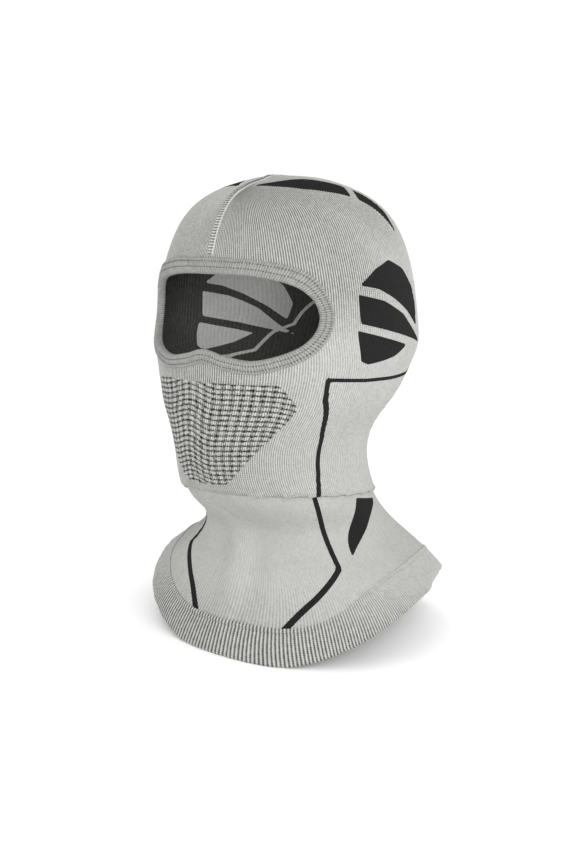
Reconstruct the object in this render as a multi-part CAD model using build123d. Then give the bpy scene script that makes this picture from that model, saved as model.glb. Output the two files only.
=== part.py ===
from build123d import *
import os

# Knitted ski balaclava, standing as it is worn, in millimetres.
# +Z is up, the face looks towards -Y and the wearer's left is +X.
# The origin is on the resting plane, under the middle of the collar.

# ---- driving dimensions ----
TOTAL_HEIGHT = 296.0
HEAD_BREADTH = 152.0
HEAD_LENGTH = 206.0
KNIT_THICKNESS = 2.2
FACE_YARN_DEPTH = 1.1
BAND_RISE = 1.4
BAND_GAP = 0.2
SEAM_TAPE_WIDTH = 4.6
SEAM_TAPE_RISE = 0.8
STITCH_WIDTH = 0.7
STITCH_RISE = 0.5
STITCH_ROWS = (0.28, 0.72)
LINE_WIDTH = 3.2
HEM_THICKNESS = 3.2
HEM_LAYER = 1.6
HEM_FACING_LIFT = 2.0
WELT_WIDTH = 2.4
WELT_RISE = 0.7
WELT_GAP = 0.2
BODY_GAP = 0.4
FOLD_TILT = 8.0
NECK_SPLIT_LIFT = 0.235
FOLD_LIFT = 0.331
CROWN_LIFT = 0.800
BASE_STEP = 2.0

# ---- horizontal sections ----
# height, front reach and back reach from the origin, half breadth.
# Heights are fractions of TOTAL_HEIGHT, reaches of HEAD_LENGTH, half breadths of HEAD_BREADTH.
SECTIONS = [
    (-0.040, 0.395, 0.510, 0.730),
    (0.030, 0.343, 0.483, 0.752),
    (0.095, 0.292, 0.466, 0.740),
    (0.140, 0.262, 0.451, 0.655),
    (0.180, 0.243, 0.430, 0.545),
    (0.225, 0.226, 0.391, 0.428),
    (0.270, 0.250, 0.338, 0.382),
    (0.311, 0.332, 0.281, 0.380),
    (0.351, 0.408, 0.230, 0.376),
    (0.399, 0.461, 0.190, 0.366),
    (0.453, 0.481, 0.200, 0.370),
    (0.507, 0.477, 0.270, 0.421),
    (0.561, 0.464, 0.390, 0.482),
    (0.615, 0.458, 0.480, 0.510),
    (0.676, 0.464, 0.530, 0.505),
    (0.743, 0.462, 0.514, 0.493),
    (0.818, 0.437, 0.472, 0.471),
    (0.885, 0.400, 0.413, 0.429),
    (0.939, 0.345, 0.325, 0.360),
    (0.976, 0.255, 0.223, 0.249),
    (1.000, 0.120, 0.100, 0.100),
]
# height fraction and depth fraction of the middle of each section, from the hem to the crown
SPINE = [(-0.040, 0.073), (0.200, 0.041), (0.330, -0.022), (0.660, -0.010), (1.000, 0.012)]

# ---- outlines seen from the front: fractions of HEAD_BREADTH and TOTAL_HEIGHT, one side ----
EYE_EDGE = [(0.0, 0.814), (0.197, 0.808), (0.332, 0.783), (0.386, 0.727), (0.345, 0.673),
            (0.210, 0.645), (0.092, 0.652), (0.0, 0.664)]
BAND_EDGE = [(0.0, 0.841), (0.204, 0.836), (0.351, 0.808), (0.414, 0.727), (0.372, 0.654),
             (0.214, 0.620), (0.092, 0.625), (0.0, 0.637)]
MESH_EDGE = [(0.0, 0.600), (0.280, 0.598), (0.328, 0.548), (0.094, 0.396), (0.0, 0.394)]
HEM_RIM_FRONT = [(0.0, 0.0), (0.200, 0.0), (0.280, 0.0035), (0.360, 0.014), (0.440, 0.0315), (0.520, 0.056),
                 (0.580, 0.080), (0.632, 0.108), (0.675, 0.140), (0.700, 0.143), (0.900, 0.143)]
HEM_RIM_BACK = [(0.0, 0.0), (0.170, 0.0), (0.250, 0.006), (0.350, 0.030), (0.450, 0.075), (0.530, 0.115),
                (0.600, 0.136), (0.650, 0.140), (0.700, 0.143), (0.900, 0.143)]
HEM_TOP_FRONT = [(0.0, 0.072), (0.200, 0.072), (0.280, 0.0755), (0.360, 0.090), (0.421, 0.108), (0.460, 0.128),
                 (0.500, 0.152), (0.545, 0.180), (0.600, 0.195), (0.900, 0.210)]
HEM_TOP_BACK = [(0.0, 0.072), (0.200, 0.076), (0.280, 0.090), (0.360, 0.118), (0.421, 0.148), (0.460, 0.164),
                (0.500, 0.174), (0.545, 0.182), (0.600, 0.195), (0.900, 0.210)]

# ---- outlines seen from the side: fractions of HEAD_LENGTH and TOTAL_HEIGHT ----
INLAY_UPPER = [(-0.160, 0.785), (-0.082, 0.815), (0.000, 0.831), (0.097, 0.811), (0.184, 0.767),
               (0.223, 0.723), (0.204, 0.682), (0.107, 0.720), (0.000, 0.753), (-0.082, 0.775)]
INLAY_MIDDLE = [(-0.170, 0.767), (-0.058, 0.750), (0.068, 0.716), (0.184, 0.665), (0.243, 0.642),
                (-0.165, 0.709)]
INLAY_LOWER = [(-0.180, 0.696), (0.068, 0.652), (-0.020, 0.635), (-0.080, 0.630), (-0.150, 0.627),
               (-0.180, 0.635)]
NAPE_WEDGE = [(-0.052, 0.327), (0.078, 0.306), (0.070, 0.296), (-0.036, 0.244), (-0.100, 0.207)]
EAR_LINE_FRONT = [(-0.277, 0.604), (-0.277, 0.564), (-0.230, 0.473), (-0.228, 0.409), (-0.226, 0.300)]
EAR_LINE_BACK = [(-0.277, 0.604), (-0.146, 0.594), (-0.010, 0.588), (0.146, 0.584), (0.252, 0.591), (0.340, 0.632),
                 (0.408, 0.649), (0.437, 0.682), (0.466, 0.709), (0.700, 0.716)]

# ---- outline on the oblique plane of the front of the neck ----
NECK_LINE = [(0.000, 0.350), (0.083, 0.190), (0.003, 0.132), (-0.092, 0.071), (-0.110, 0.060)]

# ---- outlines seen from above: fractions of HEAD_BREADTH and HEAD_LENGTH ----
CROWN_FRONT = [(0.034, -0.270), (0.118, -0.240), (0.204, -0.190), (0.266, -0.130), (0.316, -0.058),
               (0.237, 0.000), (0.190, -0.066), (0.132, -0.125), (0.080, -0.195)]
CROWN_REAR = [(0.332, -0.034), (0.365, 0.012), (0.392, 0.055), (0.412, 0.105), (0.355, 0.090),
              (0.306, 0.062), (0.257, 0.024)]

# ---- sizes that follow from the ones above ----
FAR = 4.0 * HEAD_LENGTH
ABOVE_ALL = 2.0
FOLD_HEIGHT = FOLD_LIFT * TOTAL_HEIGHT
SPLIT_HEIGHT = NECK_SPLIT_LIFT * TOTAL_HEIGHT
CROWN_HEIGHT = CROWN_LIFT * TOTAL_HEIGHT


def spine_depth(height):
    """Depth of the middle of the section at a height fraction, as a fraction of HEAD_LENGTH."""
    for (low, a), (high, b) in zip(SPINE, SPINE[1:]):
        if height <= high:
            return a + (b - a) * (height - low) / (high - low)
    return SPINE[-1][1]


def section_wire(row, offset):
    """Two half ellipses meeting at the sides, grown outwards by offset."""
    height, front, back, half = row
    middle = spine_depth(height) * HEAD_LENGTH
    half_breadth = half * HEAD_BREADTH + offset
    front_depth = front * HEAD_LENGTH + middle + offset
    back_depth = back * HEAD_LENGTH - middle + offset
    plane = Plane((0, middle, height * TOTAL_HEIGHT + end_shift(row, offset)))
    rear = half_ellipse(plane, half_breadth, back_depth, 0)
    fore = half_ellipse(plane, half_breadth, front_depth, 180)
    return Wire([rear, fore])


def end_shift(row, offset):
    """Lift of the end sections, so that a smaller form is lower at the crown and deeper at the base."""
    if row is SECTIONS[-1]:
        return offset
    if row is SECTIONS[0]:
        return BASE_STEP * offset
    return 0.0


def half_ellipse(plane, half_breadth, depth, start):
    """Half of an ellipse from one side of the section to the other."""
    return Edge.make_ellipse(half_breadth, depth, plane, start, start + 180)


def form(offset):
    """The solid inside the garment's outer face, grown by offset."""
    return Solid.make_loft([section_wire(row, offset) for row in SECTIONS])


def both_sides(half):
    """Close a half outline by mirroring it across the middle."""
    return half + [(-x, z) for x, z in reversed(half) if x > 0]


def scaled(points, across, up):
    """Fractions turned into millimetres."""
    return [(a * across, b * up) for a, b in points]


def front_prism(half, smooth=False, back=False):
    """Prism along Y through the front or the back of the form."""
    points = scaled(both_sides(half), HEAD_BREADTH, TOTAL_HEIGHT)
    plane = Plane(origin=(0, 0, 0), x_dir=(1, 0, 0), z_dir=(0, -1, 0))
    amount = -FAR if back else FAR
    return extrude(outline(points, plane, smooth), amount, dir=plane.z_dir)


def outline(points, plane, smooth):
    """Face bounded by straight sides or by one closed spline."""
    placed = [plane.from_local_coords(Vector(a, b, 0)) for a, b in points]
    if smooth:
        return Face(Wire([Edge.make_spline(placed, periodic=True)]))
    return Face(Wire.make_polygon(placed, close=True))


def side_prism(flat):
    """Prism along +X through the left side of the form."""
    plane = Plane(origin=(0, 0, 0), x_dir=(0, 1, 0), z_dir=(1, 0, 0))
    return extrude(outline(flat, plane, False), FAR, dir=plane.z_dir)


def side_piece(points):
    """Prism of an outline that is given in fractions."""
    return side_prism(scaled(points, HEAD_LENGTH, TOTAL_HEIGHT))


def top_piece(points):
    """Prism along +Z through the left side of the crown."""
    flat = scaled(points, HEAD_BREADTH, HEAD_LENGTH)
    return extrude(outline(flat, Plane((0, 0, CROWN_HEIGHT)), False), FAR, dir=(0, 0, 1))


def ribbon(path, width):
    """Closed outline that follows an open path at a constant width."""
    left = [shifted(path, i, width / 2) for i in range(len(path))]
    right = [shifted(path, i, -width / 2) for i in range(len(path))]
    return left + right[::-1]


def shifted(path, i, amount):
    """Point i of the path moved sideways, mitred where the path turns."""
    here = Vector(*path[i], 0)
    before = (here - Vector(*path[i - 1], 0)).normalized() if i > 0 else None
    after = (Vector(*path[i + 1], 0) - here).normalized() if i + 1 < len(path) else None
    first = before or after
    last = after or before
    tangent = (first + last).normalized()
    reach = amount / max(0.5, tangent.dot(first))
    return (here.X - tangent.Y * reach, here.Y + tangent.X * reach)


def side_ribbon(path):
    """Prism of a contrast line seen from the side."""
    return side_prism(ribbon(scaled(path, HEAD_LENGTH, TOTAL_HEIGHT), LINE_WIDTH))


def neck_ribbon():
    """Ribbon along the neck line, cut through the oblique front of the left side."""
    flat = ribbon(scaled(NECK_LINE, HEAD_LENGTH, TOTAL_HEIGHT), LINE_WIDTH)
    plane = Plane(origin=(0, 0, 0), x_dir=(1, 1, 0), z_dir=(1, -1, 0))
    return extrude(outline(flat, plane, False), FAR, dir=plane.z_dir)


def mirrored(shape):
    """The same piece on the wearer's right."""
    return mirror(shape, about=Plane.YZ)


def slab(x0, x1, y0, y1, z0, z1):
    """Box between two corners."""
    size = (x1 - x0, y1 - y0, z1 - z0)
    middle = ((x0 + x1) / 2, (y0 + y1) / 2, (z0 + z1) / 2)
    return Box(*size).moved(Location(middle))


def above_fold(gap):
    """Everything above the tilted fold under the jaw."""
    lift = slab(-FAR, FAR, -FAR, FAR, gap, FAR)
    tilted = lift.moved(Location((0, 0, 0), (-FOLD_TILT, 0, 0)))
    return tilted.moved(Location((0, 0, FOLD_HEIGHT)))


def above_hem(front, back, lift):
    """Everything above a hem outline that dips at the front and the back."""
    raised_front = [(x, z + lift / TOTAL_HEIGHT) for x, z in front]
    raised_back = [(x, z + lift / TOTAL_HEIGHT) for x, z in back]
    return front_prism(topped(raised_front)) + front_prism(topped(raised_back), back=True)


def topped(half):
    """Add the corners that close a hem outline far above the form."""
    edge_x = half[-1][0]
    return half + [(edge_x, ABOVE_ALL), (0.0, ABOVE_ALL)]


# ---- solids that several pieces are cut from ----
OUTER = form(0)
YARN_LAYER = form(-FACE_YARN_DEPTH)
INNER = form(-KNIT_THICKNESS)
WALL = OUTER - INNER
OUTER_LAYER = OUTER - YARN_LAYER
EYE_HOLE = front_prism(EYE_EDGE, smooth=True)
BAND_PRISM = front_prism(BAND_EDGE, smooth=True)
MESH_PRISM = front_prism(MESH_EDGE)


def stitch_rows():
    """Two raised rows of stitches on the eye band, one near each edge."""
    raised = form(BAND_RISE + STITCH_RISE) - form(BAND_RISE)
    width_x = STITCH_WIDTH / HEAD_BREADTH
    width_z = STITCH_WIDTH / TOTAL_HEIGHT
    rows = []
    for near in STITCH_ROWS:
        rows.append(raised & ring(near, width_x, width_z))
    return rows


def ring(near, width_x, width_z):
    """Thin closed prism between the two edges of the eye band."""
    start = blended_edge(near, 0, 0)
    end = blended_edge(near, width_x, width_z)
    return front_prism(end, smooth=True) - front_prism(start, smooth=True)


def blended_edge(near, grow_x, grow_z):
    """Outline part of the way from the inner to the outer edge of the eye band."""
    middle_z = (EYE_EDGE[0][1] + EYE_EDGE[-1][1]) / 2
    points = []
    for (ax, az), (bx, bz) in zip(EYE_EDGE, BAND_EDGE):
        x = ax + (bx - ax) * near
        z = az + (bz - az) * near
        rise = grow_z if z > middle_z else -grow_z
        points.append((x + (grow_x if x > 0 else 0), z + rise))
    return points


def inlay_cutters():
    """Name and prism of every contrast piece let into the left side's outer layer."""
    return {
        "back_inlay_upper": side_piece(INLAY_UPPER),
        "back_inlay_middle": side_piece(INLAY_MIDDLE),
        "back_inlay_lower": side_piece(INLAY_LOWER),
        "crown_stripe_front": top_piece(CROWN_FRONT),
        "crown_stripe_rear": top_piece(CROWN_REAR),
        "ear_line": (side_ribbon(EAR_LINE_FRONT) + side_ribbon(EAR_LINE_BACK)) & above_fold(0),
    }


def hood_parts():
    """Hood walls, lower face guard, mesh and the contrast pieces in them."""
    wall = (WALL - EYE_HOLE) & above_fold(0)
    left_half = slab(0, FAR, -FAR, FAR, -FAR, FAR)
    zone = guard_zone()
    left = (wall - zone - MESH_PRISM) & left_half
    guard = (wall & zone) - MESH_PRISM
    parts = {"mouth_mesh_panel": largest(wall & MESH_PRISM)}
    for name, cutter in inlay_cutters().items():
        piece = largest(OUTER_LAYER & cutter)
        left = left - piece
        guard = guard - piece - mirrored(piece)
        parts[name + "_left"] = piece
        parts[name + "_right"] = mirrored(piece)
    parts["hood_left"] = largest(left)
    parts["hood_right"] = mirrored(parts["hood_left"])
    parts["face_guard"] = largest(guard)
    return parts


def guard_zone():
    """Zone in front of the ear lines and below their corners."""
    edge = scaled(EAR_LINE_FRONT, HEAD_LENGTH, TOTAL_HEIGHT)
    corners = edge + [(edge[-1][0], 0), (-FAR, 0), (-FAR, edge[0][1])]
    return side_prism(corners) + mirrored(side_prism(corners))


def trim_parts():
    """Eye band, its stitches and the flatlock seam tape."""
    band = (form(BAND_RISE) - OUTER) & (BAND_PRISM - EYE_HOLE)
    inner_row, outer_row = stitch_rows()
    seam = seam_tape(SEAM_TAPE_WIDTH, 0, SEAM_TAPE_RISE)
    thread = seam_tape(SEAM_TAPE_WIDTH / 4, SEAM_TAPE_RISE, SEAM_TAPE_RISE + STITCH_RISE)
    return {"eye_band": band, "eye_band_stitches_inner": inner_row,
            "eye_band_stitches_outer": outer_row, "centre_seam": largest(seam),
            "centre_seam_stitches": largest(thread)}


def seam_tape(width, low, high):
    """Strip along the middle, from the eye band over the crown to the nape."""
    half = width / 2
    fold = above_fold(0)
    over = slab(-half, half, -FAR, 1, BAND_EDGE[0][1] * TOTAL_HEIGHT + BAND_GAP, FAR)
    behind = slab(-half, half, 0, FAR, 0, FAR) & fold
    return (form(high) & (over + behind)) - form(low)


def neck_parts():
    """Soft neck tube in two lengths with its contrast pieces."""
    hem_top = above_hem(HEM_TOP_FRONT, HEM_TOP_BACK, BODY_GAP)
    tube = (WALL - above_fold(-BODY_GAP)) & hem_top
    upper_zone = slab(-FAR, FAR, -FAR, FAR, SPLIT_HEIGHT, FAR)
    parts = {"neck_upper": tube & upper_zone, "neck_lower": tube - upper_zone}
    outer = (OUTER_LAYER - above_fold(-BODY_GAP)) & hem_top
    line = outer & neck_ribbon()
    pieces = {"neck_line_upper": largest(line & upper_zone),
              "neck_line_lower": largest(line - upper_zone),
              "nape_wedge": largest(outer & side_piece(NAPE_WEDGE) & upper_zone)}
    for name, piece in pieces.items():
        tube_name = "neck_lower" if name == "neck_line_lower" else "neck_upper"
        parts[name + "_left"] = piece
        parts[name + "_right"] = mirrored(piece)
        parts[tube_name] = parts[tube_name] - piece - mirrored(piece)
    return parts


def collar_parts():
    """Folded hem: outer band, inner facing and the welt at its upper edge."""
    bottom = above_hem(HEM_RIM_FRONT, HEM_RIM_BACK, 0)
    lifted = above_hem(HEM_RIM_FRONT, HEM_RIM_BACK, HEM_FACING_LIFT)
    top = above_hem(HEM_TOP_FRONT, HEM_TOP_BACK, 0)
    welt_bottom = above_hem(HEM_TOP_FRONT, HEM_TOP_BACK, -WELT_WIDTH)
    band = (OUTER - form(-HEM_LAYER)) & bottom
    facing = (form(-HEM_LAYER) - form(-HEM_THICKNESS)) & lifted
    welt = (form(WELT_RISE) - OUTER) & welt_bottom
    return {"hem_band": band - top, "hem_facing": facing - top,
            "hem_welt": welt - above_hem(HEM_TOP_FRONT, HEM_TOP_BACK, -WELT_GAP)}


def largest(shape):
    """Biggest solid of a shape, dropping slivers left by a cut."""
    return max(shape.solids(), key=lambda solid: solid.volume)


def centred(parts):
    """Moves every piece so that the origin is under the middle of the garment."""
    boxes = [shape.bounding_box() for shape in parts.values()]
    middle_y = (min(box.min.Y for box in boxes) + max(box.max.Y for box in boxes)) / 2
    return {name: shape.moved(Location((0, -middle_y, 0))) for name, shape in parts.items()}


def write(parts):
    """One file for each piece."""
    os.makedirs("parts", exist_ok=True)
    for name, shape in parts.items():
        shape.label = name
        export_step(shape, "parts/" + name + ".step")


if __name__ == "__main__":
    write(centred(hood_parts() | trim_parts() | neck_parts() | collar_parts()))
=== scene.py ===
import math

import bpy
import numpy as np
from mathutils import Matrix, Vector
from mathutils.bvhtree import BVHTree
from mathutils.geometry import area_tri


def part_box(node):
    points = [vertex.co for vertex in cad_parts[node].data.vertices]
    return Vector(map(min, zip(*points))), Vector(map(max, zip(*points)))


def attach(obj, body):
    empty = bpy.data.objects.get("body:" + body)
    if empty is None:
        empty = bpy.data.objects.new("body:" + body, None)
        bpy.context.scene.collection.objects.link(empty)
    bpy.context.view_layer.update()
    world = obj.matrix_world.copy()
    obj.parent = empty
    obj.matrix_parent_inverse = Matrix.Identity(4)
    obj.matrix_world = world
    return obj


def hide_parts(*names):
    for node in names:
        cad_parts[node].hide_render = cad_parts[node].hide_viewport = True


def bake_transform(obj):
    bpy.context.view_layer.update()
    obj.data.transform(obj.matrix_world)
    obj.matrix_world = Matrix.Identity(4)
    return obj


# ---- knit, in metres where it is a length ----
WALES = 320  # ribs right round
PER_WALE = 2  # grid columns to a rib
ROW = 0.0021  # height of a grid row
COURSE = 0.00135  # height of a row of stitches
FABRIC = 0.0022  # thickness of the cloth
RIB = 0.00022  # height of a rib on the outer face
LINE_WIDTH = 0.0032
LINE_WIDTH_INSIDE = 0.0030
EAR_LINE_TAPER = 1.5  # how much narrower the ear line is behind its corner
REVERSE_TURN = 25.0 / 360.0  # how far the inlays seen inside are turned about the head
REVERSE_DROP = 0.006  # and how far they hang lower there
SIDES = {"left": 1, "right": -1}

# ---- outlines as drawn in the CAD: shares of its sizes, fitted below to the boxes of its nodes ----
EYE_EDGE = [(0.0, 0.814), (0.197, 0.808), (0.332, 0.783), (0.386, 0.727), (0.345, 0.673),
            (0.210, 0.645), (0.092, 0.652), (0.0, 0.664)]
BAND_EDGE = [(0.0, 0.841), (0.204, 0.836), (0.351, 0.808), (0.414, 0.727), (0.372, 0.654),
             (0.214, 0.620), (0.092, 0.625), (0.0, 0.637)]
MESH_EDGE = [(0.0, 0.600), (0.280, 0.598), (0.328, 0.548), (0.094, 0.396), (0.0, 0.394)]
INLAYS = {
    "back_inlay_upper": [(-0.160, 0.785), (-0.082, 0.815), (0.000, 0.831), (0.097, 0.811), (0.184, 0.767),
                         (0.223, 0.723), (0.204, 0.682), (0.107, 0.720), (0.000, 0.753), (-0.082, 0.775)],
    "back_inlay_middle": [(-0.170, 0.767), (-0.058, 0.750), (0.068, 0.716), (0.184, 0.665), (0.243, 0.642),
                          (-0.165, 0.709)],
    "back_inlay_lower": [(-0.180, 0.696), (0.068, 0.652), (-0.020, 0.635), (-0.080, 0.630), (-0.150, 0.627),
                         (-0.180, 0.635)],
    "nape_wedge": [(-0.052, 0.327), (0.078, 0.306), (0.070, 0.296), (-0.036, 0.244), (-0.100, 0.207)],
}
CROWNS = {
    "crown_stripe_front": [(0.034, -0.270), (0.118, -0.240), (0.204, -0.190), (0.266, -0.130),
                           (0.316, -0.058), (0.237, 0.000), (0.190, -0.066), (0.132, -0.125),
                           (0.080, -0.195)],
    "crown_stripe_rear": [(0.332, -0.034), (0.365, 0.012), (0.392, 0.055), (0.412, 0.105), (0.355, 0.090),
                          (0.306, 0.062), (0.257, 0.024)],
}
EAR_LINE = [(-0.226, 0.250), (-0.226, 0.300), (-0.228, 0.409), (-0.230, 0.473), (-0.277, 0.564),
            (-0.277, 0.604), (-0.146, 0.594), (-0.010, 0.588), (0.146, 0.584), (0.252, 0.591),
            (0.340, 0.632), (0.408, 0.649), (0.437, 0.682), (0.466, 0.709), (0.700, 0.716)]
EAR_CORNER = 5  # the point of EAR_LINE where it turns back
NECK_LINE = [(0.000, 0.350), (0.083, 0.190), (0.003, 0.132), (-0.092, 0.071), (-0.110, 0.060)]
RIM_FRONT = [(0.0, 0.0), (0.200, 0.0), (0.280, 0.0035), (0.360, 0.014), (0.440, 0.0315), (0.520, 0.056),
             (0.580, 0.080), (0.632, 0.108), (0.675, 0.140), (0.700, 0.143), (0.900, 0.143)]
RIM_BACK = [(0.0, 0.0), (0.170, 0.0), (0.250, 0.006), (0.350, 0.030), (0.450, 0.075), (0.530, 0.115),
            (0.600, 0.136), (0.650, 0.140), (0.700, 0.143), (0.900, 0.143)]
HEM_TOP_FRONT = [(0.0, 0.072), (0.200, 0.072), (0.280, 0.0755), (0.360, 0.090), (0.421, 0.108),
                 (0.460, 0.128), (0.500, 0.152), (0.545, 0.180), (0.600, 0.195), (0.900, 0.210)]
HEM_TOP_BACK = [(0.0, 0.072), (0.200, 0.076), (0.280, 0.090), (0.360, 0.118), (0.421, 0.148), (0.460, 0.164),
                (0.500, 0.174), (0.545, 0.182), (0.600, 0.195), (0.900, 0.210)]

# ---- sizes the outlines are shares of ----
HEAD_LENGTH_MM = 206.0
TOTAL_HEIGHT_MM = 296.0
BAND_BREADTH = 2 * max(x for x, z in BAND_EDGE)
INLAY_FRONT = 0.160  # how far in front of the middle the upper inlay starts, as a share of the length
HEAD_TOP_SHARE = 0.775  # where the sides end and the crown begins, as a share of the height
FOLD_SHARE = 0.331  # height of the fold under the jaw
SPLIT_SHARE = 0.235  # height where the two lengths of the neck meet
FOLD_DEGREES = 8.0  # the fold is higher in front than behind
SPINE = ([0, 0.2, 0.33, 0.66, 1.0], [0.068, 0.041, -0.022, -0.010, 0.0])  # heights, and y of the middle there


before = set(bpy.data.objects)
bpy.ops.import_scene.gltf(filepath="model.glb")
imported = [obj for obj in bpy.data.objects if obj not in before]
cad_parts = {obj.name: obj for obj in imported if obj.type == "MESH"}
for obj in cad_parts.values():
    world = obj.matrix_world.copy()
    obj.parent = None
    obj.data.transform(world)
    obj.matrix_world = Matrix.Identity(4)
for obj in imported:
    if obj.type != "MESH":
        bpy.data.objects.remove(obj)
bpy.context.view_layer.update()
rng = np.random.default_rng(7)
BAND_LOW, BAND_HIGH = (np.array(v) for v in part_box("eye_band"))
BASE = np.array(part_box("hem_band")[0])[2]
TOTAL = np.array(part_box("hood_left")[1])[2] - BASE
BREADTH = (BAND_HIGH[0] - BAND_LOW[0]) / BAND_BREADTH
LENGTH = TOTAL * HEAD_LENGTH_MM / TOTAL_HEIGHT_MM
HEAD_TOP = BASE + HEAD_TOP_SHARE * TOTAL
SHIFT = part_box("back_inlay_upper_left")[0].y + INLAY_FRONT * LENGTH
FOLD_TILT = math.tan(math.radians(FOLD_DEGREES))
FOLD_AT = BASE + FOLD_SHARE * TOTAL
SPLIT = BASE + SPLIT_SHARE * TOTAL
NOT_WALLS = ("eye_band", "centre_seam", "hem_facing", "hem_welt")
WALLS = [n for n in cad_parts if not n.startswith(NOT_WALLS)]


# ---- outlines ----
def both(half):
    """A half outline with its mirror image."""
    return half + [(-x, z) for x, z in reversed(half) if x > 0]


def smooth_loop(points, count=240):
    """Closed Catmull-Rom curve through the points, as evenly spaced points."""
    p = np.array(points, float)
    prev, here, nxt, after = np.roll(p, 1, 0), p, np.roll(p, -1, 0), np.roll(p, -2, 0)
    t = np.linspace(0, 1, 24, endpoint=False)[None, :, None]
    a, b, c, d = (q[:, None, :] for q in (prev, here, nxt, after))
    curve = 0.5 * (2 * b + (c - a) * t + (2 * a - 5 * b + 4 * c - d) * t**2 + (3 * b - a - 3 * c + d) * t**3)
    return resample(curve.reshape(-1, 2), count)


def run_of(line):
    """Distance along a line at each of its points."""
    return np.concatenate([[0], np.cumsum(np.linalg.norm(np.diff(line, axis=0), axis=1))])


def unit(rows):
    """Rows of vectors at length 1."""
    return rows / np.linalg.norm(rows, axis=1, keepdims=True)


def resample(loop, count):
    """Closed loop with that many points, evenly spaced."""
    closed = np.vstack([loop, loop[:1]])
    reach = run_of(closed)
    at = np.linspace(0, reach[-1], count, endpoint=False)
    return np.stack([np.interp(at, reach, closed[:, k]) for k in range(closed.shape[1])], 1)


def front_loop(points):
    """Front outline in metres: x across and z up."""
    p = np.array(points)
    return np.stack([p[:, 0] * BREADTH, BASE + p[:, 1] * TOTAL], 1)


def side_loop(points):
    """Side outline in metres: y back and z up."""
    p = np.array(points)
    return np.stack([SHIFT + p[:, 0] * LENGTH, BASE + p[:, 1] * TOTAL], 1)


def rounded(loop, radius, count=160):
    """Polygon resampled and its corners eased."""
    p = resample(np.array(loop), count)
    step = np.linalg.norm(p[1] - p[0])
    for _ in range(int((radius / step) ** 2) + 1):
        p = 0.25 * np.roll(p, 1, 0) + 0.5 * p + 0.25 * np.roll(p, -1, 0)
    return p


def signed(points, loop):
    """Signed distance of 2-D points from a closed loop, negative inside."""
    a, b = loop, np.roll(loop, -1, 0)
    out = np.empty(len(points))
    for k in range(0, len(points), 20000):
        p = points[k:k + 20000, None, :]
        ab = (b - a)[None]
        t = np.clip(((p - a) * ab).sum(-1) / np.maximum((ab**2).sum(-1), 1e-18), 0, 1)
        d = np.sqrt((((a + ab * t[..., None]) - p) ** 2).sum(-1)).min(1)
        up = (a[None, :, 1] <= p[..., 1]) != (b[None, :, 1] <= p[..., 1])
        rise = np.where(up, b[None, :, 1] - a[None, :, 1], 1.0)
        cross = a[None, :, 0] + (p[..., 1] - a[None, :, 1]) * (b[None, :, 0] - a[None, :, 0]) / rise
        inside = (up & (p[..., 0] < cross)).sum(1) % 2 == 1
        out[k:k + 20000] = np.where(inside, -d, d)
    return out


def beside(points, path):
    """Signed distance of 2-D points from an open path, positive on its left."""
    a, b = path[:-1], path[1:]
    p = points[:, None, :]
    ab = (b - a)[None]
    t = np.clip(((p - a) * ab).sum(-1) / np.maximum((ab**2).sum(-1), 1e-18), 0, 1)
    off = p - (a + ab * t[..., None])
    d = np.sqrt((off**2).sum(-1))
    cross = ab[..., 0] * (p - a)[..., 1] - ab[..., 1] * (p - a)[..., 0]
    turn = np.abs(cross) / np.sqrt((ab**2).sum(-1))
    rank = np.round(d, 7) - turn * 1e-4
    near = rank.argmin(1)
    rows = np.arange(len(points))
    return np.where(cross[rows, near] > 0, 1.0, -1.0) * d[rows, near]


def step01(x, low, high):
    """Smooth step from 0 at low to 1 at high."""
    t = np.clip((x - low) / (high - low), 0, 1)
    return t * t * (3 - 2 * t)


# ---- the outer surface of the CAD walls, sampled along wales and courses ----
def tree_of(names):
    """Search tree over the faces of those CAD nodes."""
    verts, faces = [], []
    for n in names:
        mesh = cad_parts[n].data
        start = len(verts)
        verts += [tuple(v.co) for v in mesh.vertices]
        faces += [tuple(start + k for k in p.vertices) for p in mesh.polygons]
    return BVHTree.FromPolygons(verts, faces)


TREE = tree_of(WALLS)
FAR = 0.6


def reach_of(origin, direction):
    """Distance from origin to the outermost wall along direction, or NaN where there is none."""
    start = Vector(origin + direction * FAR)
    hit = TREE.ray_cast(start, Vector(-direction), FAR - 0.001)[0]
    return np.nan if hit is None else FAR - (hit - start).length


def fill_column(r):
    """Bridges gaps in a column and carries on below the hem."""
    good = np.flatnonzero(np.isfinite(r))
    first = good[0]
    out = np.interp(np.arange(len(r)), good, r[good])
    slope = (r[good[0]] - r[good[3]]) / (good[3] - good[0])
    out[:first] = r[first] + slope * np.arange(first, 0, -1)
    return out


def smooth_rows(a, times):
    """Evens out down the first axis, in place, with the ends held."""
    for _ in range(times):
        a[1:-1] = 0.25 * a[:-2] + 0.5 * a[1:-1] + 0.25 * a[2:]
    return a


def smooth_columns(a, times):
    """Evens out round the second axis, which is closed."""
    for _ in range(times):
        a = 0.25 * np.roll(a, 1, 1) + 0.5 * a + 0.25 * np.roll(a, -1, 1)
    return a


def section_sizes(heights):
    """Middle, front depth, back depth and half breadth of the form at each height."""
    up = (heights - BASE) / TOTAL
    middle = SHIFT + np.interp(up, *SPINE) * LENGTH
    sizes = []
    for way in ((0, -1, 0), (0, 1, 0), (1, 0, 0)):
        d = np.array(way, float)
        r = np.array([reach_of(np.array([0, m, z]), d) for m, z in zip(middle, heights)])
        r[r < 0.02] = np.nan
        sizes.append(smooth_rows(fill_column(r), 6))
    return (middle, *sizes)


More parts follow.
